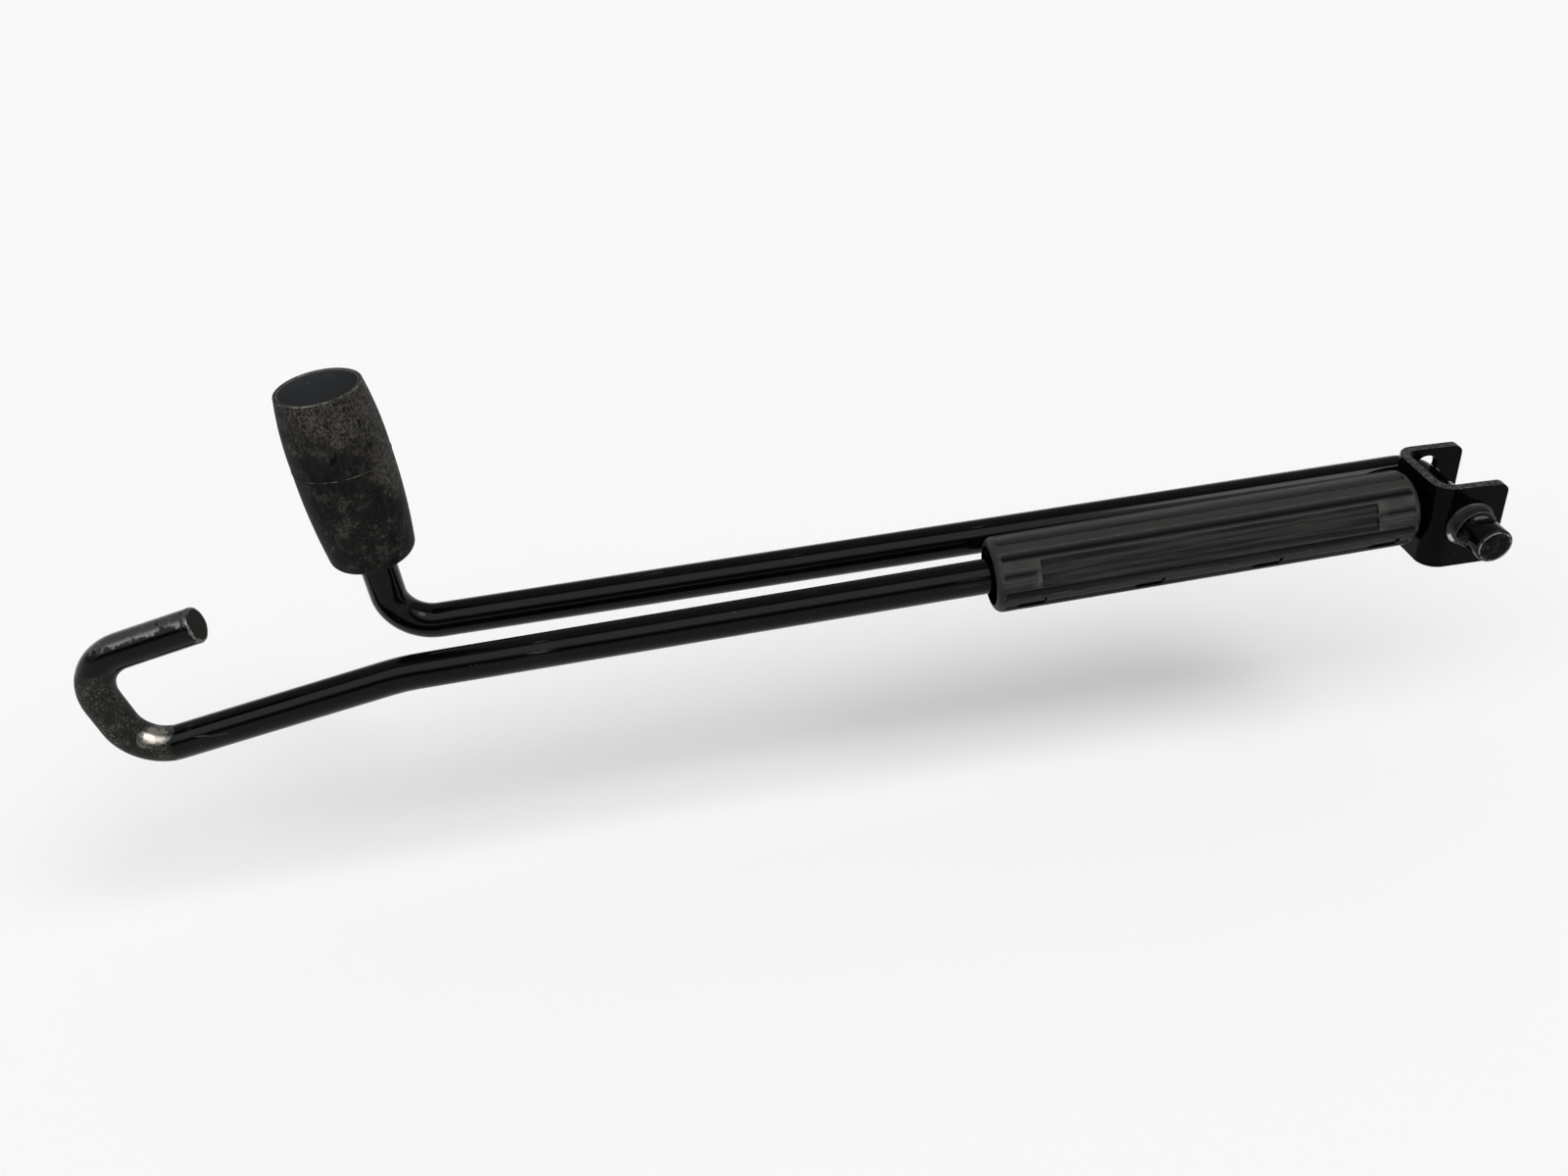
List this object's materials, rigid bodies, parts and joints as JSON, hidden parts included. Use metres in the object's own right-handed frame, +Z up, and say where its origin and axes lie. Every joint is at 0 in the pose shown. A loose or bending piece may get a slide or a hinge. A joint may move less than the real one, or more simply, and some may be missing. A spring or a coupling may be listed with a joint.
{
  "type": "jack crank handle",
  "caption": "Folding crank handle for a scissor jack: a hooked rod with a turning grip, joined by a clevis to a cranked arm with a turning knob.",
  "frame": {"origin": "centre of the flat end of the hook's tip", "axes": "+X along the hook rod towards the clevis, +Y along the pivot towards the crank arm, +Z up the folded knob"},
  "size_m": [0.3496, 0.05, 0.0848],
  "materials": {
    "hook_rod": "gloss black enamel, worn off on the bend of the hook",
    "hinge_bracket": "satin black enamel",
    "grip_front_shell": "matt black moulding with fine scuffs",
    "grip_back_shell": "matt black moulding with fine scuffs",
    "crank_arm": "gloss black enamel",
    "pivot_collar": "dull zinc, darkened",
    "knob_washer": "dull zinc",
    "crank_knob": "matt black moulding, dusty and scuffed"
  },
  "bodies": {
    "frame": {"hook_rod": "hook_rod", "hinge_bracket": "hinge_bracket"},
    "grip": {"grip_front_shell": "grip_front_shell", "grip_back_shell": "grip_back_shell"},
    "crank": {"crank_arm": "crank_arm", "pivot_collar": "pivot_collar", "knob_washer": "knob_washer"},
    "knob": {"crank_knob": "crank_knob"}
  },
  "joints": [
    {"name": "grip_spin", "type": "hinge", "parent": "frame", "child": "grip", "pos_m": [0.24255, 0, -0.02382], "axis": [1, 0, 0], "continuous": true},
    {"name": "arm_swing", "type": "hinge", "parent": "frame", "child": "crank", "pos_m": [0.3069, 0, -0.02382], "axis": [0, 1, 0], "range_deg": [-0.75, 179.25]},
    {"name": "knob_spin", "type": "hinge", "parent": "crank", "child": "knob", "pos_m": [0.0401, 0.0159, 0.02438], "axis": [0.0131, 0, 0.9999], "continuous": true}
  ]
}
